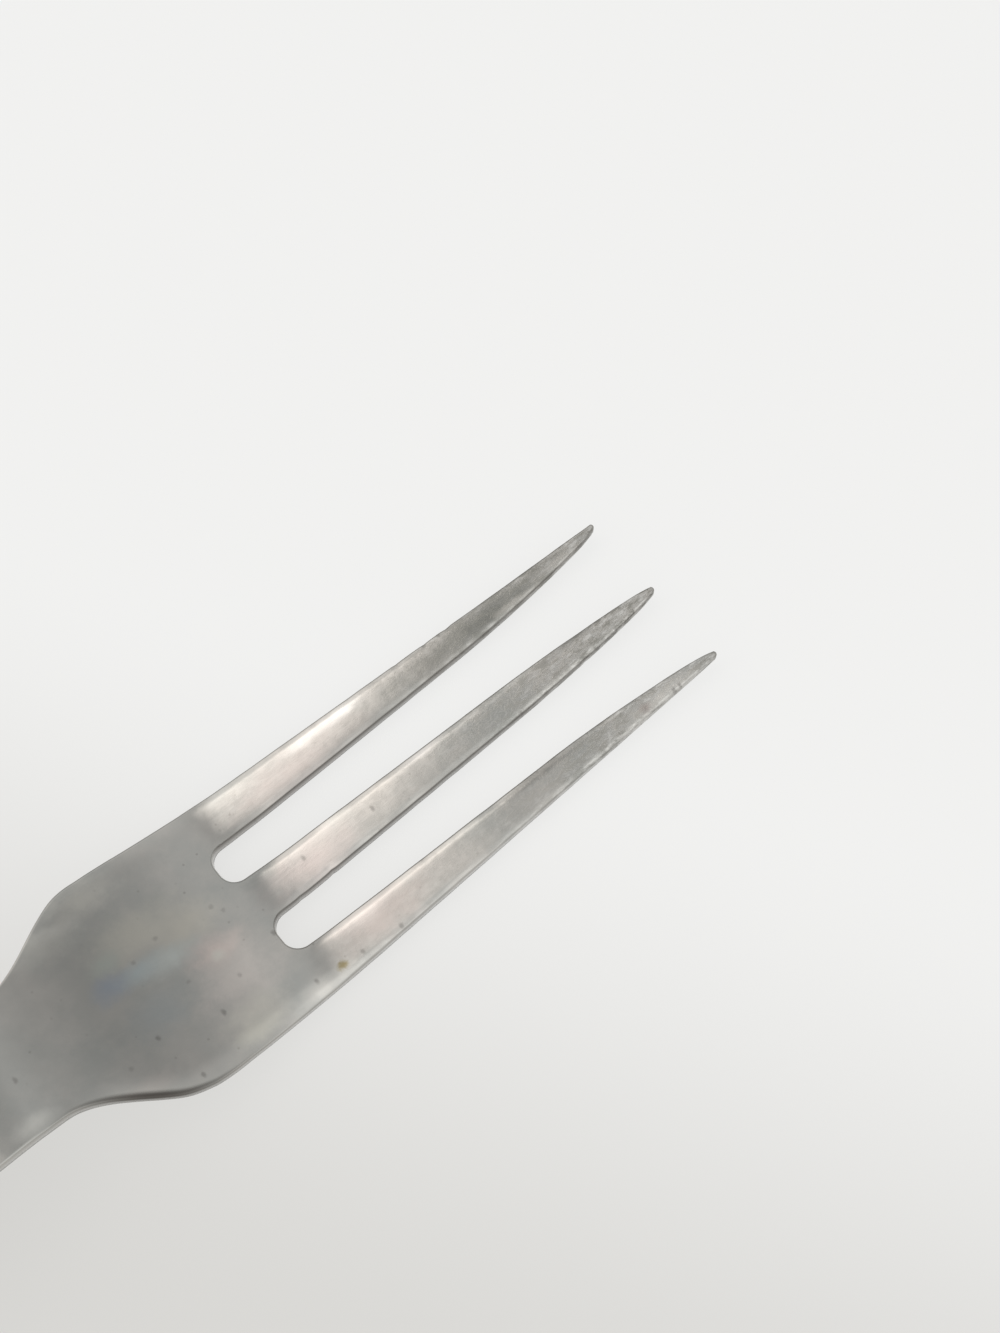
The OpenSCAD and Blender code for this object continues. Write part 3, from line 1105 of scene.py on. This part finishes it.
# Radius of each row. The first row and the last close on the axis, and row 3 is halfway round the rim.
half_head = add_node(
    rivet_tree, "ShaderNodeMath", {0: sizes["Head radius"], 1: 0.5}, operation="MULTIPLY"
).outputs["Value"]
head_flat = add_node(
    rivet_tree, "ShaderNodeMath", {0: sizes["Head radius"], 1: sizes["Rim radius"]}, operation="SUBTRACT"
).outputs["Value"]
rim_part = add_node(
    rivet_tree, "ShaderNodeMath", {0: sizes["Rim radius"], 1: 1 - math.sqrt(0.5)}, operation="MULTIPLY"
).outputs["Value"]
rim_middle = add_node(
    rivet_tree, "ShaderNodeMath", {0: sizes["Head radius"], 1: rim_part}, operation="SUBTRACT"
).outputs["Value"]
radii = {
    1: half_head,
    2: head_flat,
    3: rim_middle,
    4: sizes["Head radius"],
    5: sizes["Head radius"],
    6: sizes["Shank radius"],
    7: sizes["Shank radius"],
    8: sizes["Bore radius"],
    9: sizes["Bore radius"],
}
radius_switch = add_node(rivet_tree, "GeometryNodeIndexSwitch", data_type="FLOAT")
level_switch = add_node(rivet_tree, "GeometryNodeIndexSwitch", data_type="FLOAT")
for switch in (radius_switch, level_switch):
    while len(switch.index_switch_items) < profile_rows:
        switch.index_switch_items.new()
    rivet_tree.links.new(row_index, switch.inputs["Index"])
for index, socket in radii.items():
    rivet_tree.links.new(socket, radius_switch.inputs[1 + index])
radius = radius_switch.outputs["Output"]
cosine = add_node(rivet_tree, "ShaderNodeMath", {0: turn}, operation="COSINE").outputs["Value"]
sine = add_node(rivet_tree, "ShaderNodeMath", {0: turn}, operation="SINE").outputs["Value"]
out_x = add_node(rivet_tree, "ShaderNodeMath", {0: radius, 1: cosine}, operation="MULTIPLY").outputs["Value"]
out_y = add_node(rivet_tree, "ShaderNodeMath", {0: radius, 1: sine}, operation="MULTIPLY").outputs["Value"]

# Level of each row. The head's face follows the crown of the scale, a cylinder along the handle.
across = add_node(rivet_tree, "ShaderNodeMath", {0: out_y, 1: 2}, operation="POWER").outputs["Value"]
crown_square = add_node(
    rivet_tree, "ShaderNodeMath", {0: sizes["Crown radius"], 1: 2}, operation="POWER"
).outputs["Value"]
crown_left = add_node(
    rivet_tree, "ShaderNodeMath", {0: crown_square, 1: across}, operation="SUBTRACT"
).outputs["Value"]
crown_rise = add_node(rivet_tree, "ShaderNodeMath", {0: crown_left}, operation="SQRT").outputs["Value"]
crown_base = add_node(
    rivet_tree, "ShaderNodeMath", {0: sizes["Crown level"], 1: sizes["Crown radius"]}, operation="SUBTRACT"
).outputs["Value"]
face = add_node(
    rivet_tree, "ShaderNodeMath", {0: crown_base, 1: crown_rise}, operation="ADD"
).outputs["Value"]
rim_face = add_node(
    rivet_tree, "ShaderNodeMath", {0: face, 1: rim_part}, operation="SUBTRACT"
).outputs["Value"]
rim_foot = add_node(
    rivet_tree, "ShaderNodeMath", {0: face, 1: sizes["Rim radius"]}, operation="SUBTRACT"
).outputs["Value"]
levels = {
    0: face,
    1: face,
    2: face,
    3: rim_face,
    4: rim_foot,
    5: sizes["Seat level"],
    6: sizes["Seat level"],
    7: sizes["Shank end"],
    8: sizes["Shank end"],
    9: sizes["Bore end"],
    10: sizes["Bore end"],
}
for index, socket in levels.items():
    rivet_tree.links.new(socket, level_switch.inputs[1 + index])
turned_place = add_node(
    rivet_tree, "ShaderNodeCombineXYZ", {"X": out_x, "Y": out_y, "Z": level_switch.outputs["Output"]}
).outputs["Vector"]
noted = add_node(
    rivet_tree,
    "GeometryNodeStoreNamedAttribute",
    {"Geometry": sheet, "Name": "from_axis", "Value": radius},
    data_type="FLOAT",
    domain="POINT",
).outputs["Geometry"]
turned = add_node(
    rivet_tree, "GeometryNodeSetPosition", {"Geometry": noted, "Position": turned_place}
).outputs["Geometry"]
closed = add_node(
    rivet_tree, "GeometryNodeMergeByDistance", {"Geometry": turned, "Distance": 0.001 * MM}
).outputs["Geometry"]
places = add_node(
    rivet_tree,
    "GeometryNodeMeshLine",
    {"Count": sizes["Count"], "Start Location": sizes["First place"], "Offset": sizes["Step"]},
    mode="OFFSET",
).outputs["Mesh"]
square_to_tang = add_node(
    rivet_tree, "FunctionNodeEulerToRotation", {"Euler": sizes["Turn"]}
).outputs["Rotation"]
set_out = add_node(
    rivet_tree,
    "GeometryNodeInstanceOnPoints",
    {"Points": places, "Instance": closed, "Rotation": square_to_tang},
).outputs["Instances"]
real = add_node(rivet_tree, "GeometryNodeRealizeInstances", {"Geometry": set_out}).outputs["Geometry"]
coloured = add_node(
    rivet_tree, "GeometryNodeSetMaterial", {"Geometry": real, "Material": sizes["Material"]}
).outputs["Geometry"]
add_node(rivet_tree, "NodeGroupOutput", {"Geometry": coloured})


def rivet_halves(name, half, turn, shank_r, shank_end, bore_r, bore_end):
    """One half of every rivet, as one piece."""
    middles = [Vector(on_handle((x, 0), 0)) * MM for x in rivet_x]
    values = {
        "Count": rivet_count,
        "First place": middles[0],
        "Step": middles[1] - middles[0],
        "Turn": turn,
        "Head radius": rivet_head_r * MM,
        "Rim radius": rim_r * MM,
        "Seat level": rivet_seat * MM,
        "Shank radius": shank_r * MM,
        "Shank end": shank_end * MM,
        "Bore radius": bore_r * MM,
        "Bore end": bore_end * MM,
        "Crown level": scale_outer * MM,
        "Crown radius": crown_r * MM,
        "Sides": rivet_sides,
        "Material": brass,
    }
    piece = bpy.data.objects.new(name, bpy.data.meshes.new(name))
    bpy.context.scene.collection.objects.link(piece)
    modifier = piece.modifiers.new("rivets", "NODES")
    modifier.node_group = rivet_tree
    for label, value in values.items():
        modifier[sockets[label]] = value
    made = bpy.data.meshes.new_from_object(piece.evaluated_get(bpy.context.evaluated_depsgraph_get()))
    piece.modifiers.clear()
    piece.data = made
    bm = bmesh.new()
    bm.from_mesh(made)
    bmesh.ops.recalc_face_normals(bm, faces=bm.faces)
    bm.to_mesh(made)
    bm.free()
    made.shade_smooth()
    made.set_sharp_from_angle(angle=sharp_angle)
    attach(piece, "root")
    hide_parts(*(f"{place}_rivet_{half}" for place in ("front", "middle", "rear")))


# Blender turns about X first, so the hollow halves are turned over before they are set square to the tang
pin_end = rivet_end_room - rivet_seat
rivet_halves("rivet_pins", "pin", (0, -handle_tilt, 0), rivet_pin_r, pin_end, 0, pin_end)
rivet_halves(
    "rivet_sockets",
    "socket",
    (math.pi, -handle_tilt, 0),
    rivet_socket_r,
    pin_end,
    rivet_pin_r + rivet_grip_gap,
    rivet_seat,
)


# The table, the light and the camera.
# The fork lies on a matt white table top in a pale room, whose walls are bright past both ends of the fork.
# The grey ceiling is darkest past the points, and a broad warm glow lies over the fork's left side.
table_mesh = bpy.data.meshes.new("table_top")
table_reach = 3
table_z = cad_box[0].z
ways_out = ((-1, -1), (1, -1), (1, 1), (-1, 1))
corners = [(x * table_reach, y * table_reach, table_z) for x, y in ways_out]
table_mesh.from_pydata(corners, [], [(0, 1, 2, 3)])
table = bpy.data.objects.new("table_top", table_mesh)
bpy.context.scene.collection.objects.link(table)

# Most of what the eye and the steel see of the table is its own even white, which keeps the shadow faint.
# A painted shadow dims it a little towards the butt and the right, as of someone leaning over the fork,
# and it is white again from 1.2 m away.
laminate = bpy.data.materials.new("matt white laminate")
laminate.use_nodes = True
tree = laminate.node_tree
laminate_shader = tree.nodes["Principled BSDF"]
at_table = add_node(tree, "ShaderNodeTexCoord").outputs["Object"]
# The painted shadow: the table darkens towards the butt and the right, near the fork
towards_butt = add_node(
    tree, "ShaderNodeVectorMath", {0: at_table, 1: (-0.866, -0.5, 0)}, operation="DOT_PRODUCT"
).outputs["Value"]
painted_shadow = add_node(
    tree,
    "ShaderNodeMapRange",
    {"Value": towards_butt, "From Min": -0.085, "From Max": 0},
    interpolation_type="SMOOTHSTEP",
).outputs["Result"]
from_fork = add_node(tree, "ShaderNodeVectorMath", {0: at_table}, operation="LENGTH").outputs["Value"]
near_fork = add_node(
    tree,
    "ShaderNodeMapRange",
    {"Value": from_fork, "From Min": 1.2, "From Max": 0.2},
    interpolation_type="SMOOTHSTEP",
).outputs["Result"]
painted_shadow_share = add_node(
    tree, "ShaderNodeMath", {0: painted_shadow, 1: near_fork}, operation="MULTIPLY"
).outputs["Value"]
table_tone = add_node(
    tree,
    "ShaderNodeMix",
    {"Factor": painted_shadow_share, MIX_A: linear("#F1F1F0"), MIX_B: linear("#D9D8D5")},
    data_type="RGBA",
).outputs[MIX_OUT]
tree.links.new(table_tone, laminate_shader.inputs["Base Color"])
laminate_shader.inputs["Roughness"].default_value = 0.7
laminate_shader.inputs["Specular IOR Level"].default_value = 0.2
even_white = add_node(tree, "ShaderNodeEmission", {"Color": table_tone, "Strength": 1}).outputs["Emission"]
rays = add_node(tree, "ShaderNodeLightPath").outputs
seen = add_node(
    tree, "ShaderNodeMath", {0: rays["Is Camera Ray"], 1: rays["Is Glossy Ray"]}, operation="MAXIMUM"
).outputs["Value"]
white_share = add_node(tree, "ShaderNodeMath", {0: seen, 1: 0.85}, operation="MULTIPLY").outputs["Value"]
table_look = add_node(
    tree, "ShaderNodeMixShader", {0: white_share, 1: laminate_shader.outputs["BSDF"], 2: even_white}
).outputs["Shader"]
tree.links.new(table_look, tree.nodes["Material Output"].inputs["Surface"])
table_mesh.materials.append(laminate)

world = bpy.data.worlds.new("room")
world.use_nodes = True
bpy.context.scene.world = world
tree = world.node_tree
way = add_node(tree, "ShaderNodeTexCoord").outputs["Generated"]
towards = add_node(tree, "ShaderNodeSeparateXYZ", {"Vector": way}).outputs


def level_over(value, stops):
    """A level that changes over a value between -1 and 1: places and levels, which are at most 1."""
    share = add_node(tree, "ShaderNodeMapRange", {"Value": value, "From Min": -1}).outputs["Result"]
    made = add_node(tree, "ShaderNodeValToRGB", {"Fac": share})
    elements = made.color_ramp.elements
    while len(elements) < len(stops):
        elements.new(1)
    for element, (place, level) in zip(elements, stops):
        element.position = (place + 1) / 2
        element.color = (level, level, level, 1)
    return made.outputs["Color"]


# Walls, as a share of the brightest: bright past both ends of the fork, dimmer to its right, dim to its left
wall_tone = level_over(towards["Y"], [(-1, 0.55), (-0.7, 0.6), (-0.4, 1), (0.4, 1), (0.8, 0.3), (1, 0.3)])
wall_level = add_node(tree, "ShaderNodeMath", {0: wall_tone, 1: 1.7}, operation="MULTIPLY").outputs["Value"]
# Ceiling, as a share of plain white: darkest past the points, and a little brighter over the sides
past_points = level_over(
    towards["X"],
    [
        (0.05, 0.52), (0.2, 0.43), (0.25, 0.46), (0.29, 0.58),
        (0.33, 0.55), (0.37, 0.46), (0.53, 0.34), (0.8, 0.28),
    ],
)
over_sides = level_over(
    towards["Y"], [(-0.2, 0.18), (0.05, 0.14), (0.3, 0), (0.4, 0), (0.5, 0.06), (0.7, 0.1)]
)
ceiling_level = add_node(
    tree, "ShaderNodeMath", {0: past_points, 1: over_sides}, operation="ADD"
).outputs["Value"]
# A faint light high on the right, past the points, which shows in the right bevels of the tines
right_side = level_over(
    towards["Y"],
    [(-0.65, 0.2), (-0.4, 0.38), (-0.28, 0.36), (-0.15, 0.12), (0, 0.06), (0.08, 0.06), (0.15, 0)],
)
right_ahead = level_over(towards["X"], [(-0.15, 0), (0.05, 1), (0.27, 1), (0.38, 0)])
ceiling_level = add_node(
    tree, "ShaderNodeMath", {0: right_side, 1: right_ahead, 2: ceiling_level}, operation="MULTIPLY_ADD"
).outputs["Value"]
overhead = add_node(
    tree,
    "ShaderNodeMapRange",
    {"Value": towards["Z"], "From Min": 0.3, "From Max": 0.78},
    interpolation_type="SMOOTHSTEP",
).outputs["Result"]
room_level = add_node(
    tree, "ShaderNodeMix", {0: overhead, 2: wall_level, 3: ceiling_level}, data_type="FLOAT"
).outputs[0]
tree.links.new(room_level, tree.nodes["Background"].inputs["Strength"])
tree.nodes["Background"].inputs["Color"].default_value = linear("#FEFFFE")

# A warm glow over the fork's left side: it ends in a soft slanting line across the fork
glow_line = level_over(
    towards["Y"],
    [
        (-0.4, 0.1), (0.2, 0.162), (0.27, 0.163), (0.37, 0.189),
        (0.47, 0.195), (0.6, 0.19), (0.75, 0.207),
    ],
)
past_line = add_node(
    tree, "ShaderNodeMath", {0: towards["X"], 1: glow_line}, operation="SUBTRACT"
).outputs["Value"]
glow_end = add_node(
    tree,
    "ShaderNodeMapRange",
    {"Value": past_line, "From Min": 0.055, "From Max": -0.055, "To Max": 1.18},
    interpolation_type="SMOOTHSTEP",
).outputs["Result"]
glow_sides = level_over(
    towards["Y"],
    [
        (-0.4, 0), (0, 0.3), (0.2, 0.43), (0.26, 0.48), (0.34, 0.8),
        (0.46, 1), (0.56, 0.75), (0.66, 0.45), (0.95, 0.35),
    ],
)
glow_height = add_node(
    tree,
    "ShaderNodeMapRange",
    {"Value": towards["Z"], "From Min": 0.1, "From Max": 0.4},
    interpolation_type="SMOOTHSTEP",
).outputs["Result"]
glow = add_node(
    tree, "ShaderNodeMath", {0: glow_sides, 1: glow_end}, operation="MULTIPLY"
).outputs["Value"]
glow = add_node(tree, "ShaderNodeMath", {0: glow, 1: glow_height}, operation="MULTIPLY").outputs["Value"]
glow_light = add_node(
    tree, "ShaderNodeBackground", {"Color": linear("#FFF8F2"), "Strength": glow}
).outputs["Background"]
room_light = add_node(
    tree, "ShaderNodeAddShader", {0: tree.nodes["Background"].outputs["Background"], 1: glow_light}
).outputs["Shader"]
# Past the far edge of the table, the camera sees the same white as the table's
beyond = add_node(tree, "ShaderNodeBackground", {"Color": linear("#F1F1F0")}).outputs["Background"]
seen = add_node(tree, "ShaderNodeLightPath").outputs["Is Camera Ray"]
room_look = add_node(tree, "ShaderNodeMixShader", {0: seen, 1: room_light, 2: beyond}).outputs["Shader"]
tree.links.new(room_look, tree.nodes["World Output"].inputs["Surface"])

# The camera leans over the head: its focal length in pixels of the 1333 pixel high picture, and its heading
focal_px = 1750
picture_h = 1333
heading = math.radians(49.9)
lean = math.radians(22.78)
eye = Vector((44.83, -60.55, 204.44)) * MM
ahead = Vector((math.cos(heading), math.sin(heading), 0))
right = Vector((math.sin(heading), -math.cos(heading), 0))
up = math.cos(lean) * ahead + math.sin(lean) * Vector((0, 0, 1))
camera = bpy.data.cameras.new("camera")
camera.sensor_width = 36
camera.lens = camera.sensor_width * focal_px / picture_h
camera_object = bpy.data.objects.new("camera", camera)
facing = Matrix((right, up, right.cross(up))).transposed()
camera_object.matrix_world = Matrix.Translation(eye) @ facing.to_4x4()
bpy.context.scene.collection.objects.link(camera_object)
bpy.context.scene.camera = camera_object
bpy.context.scene.view_settings.view_transform = "Standard"
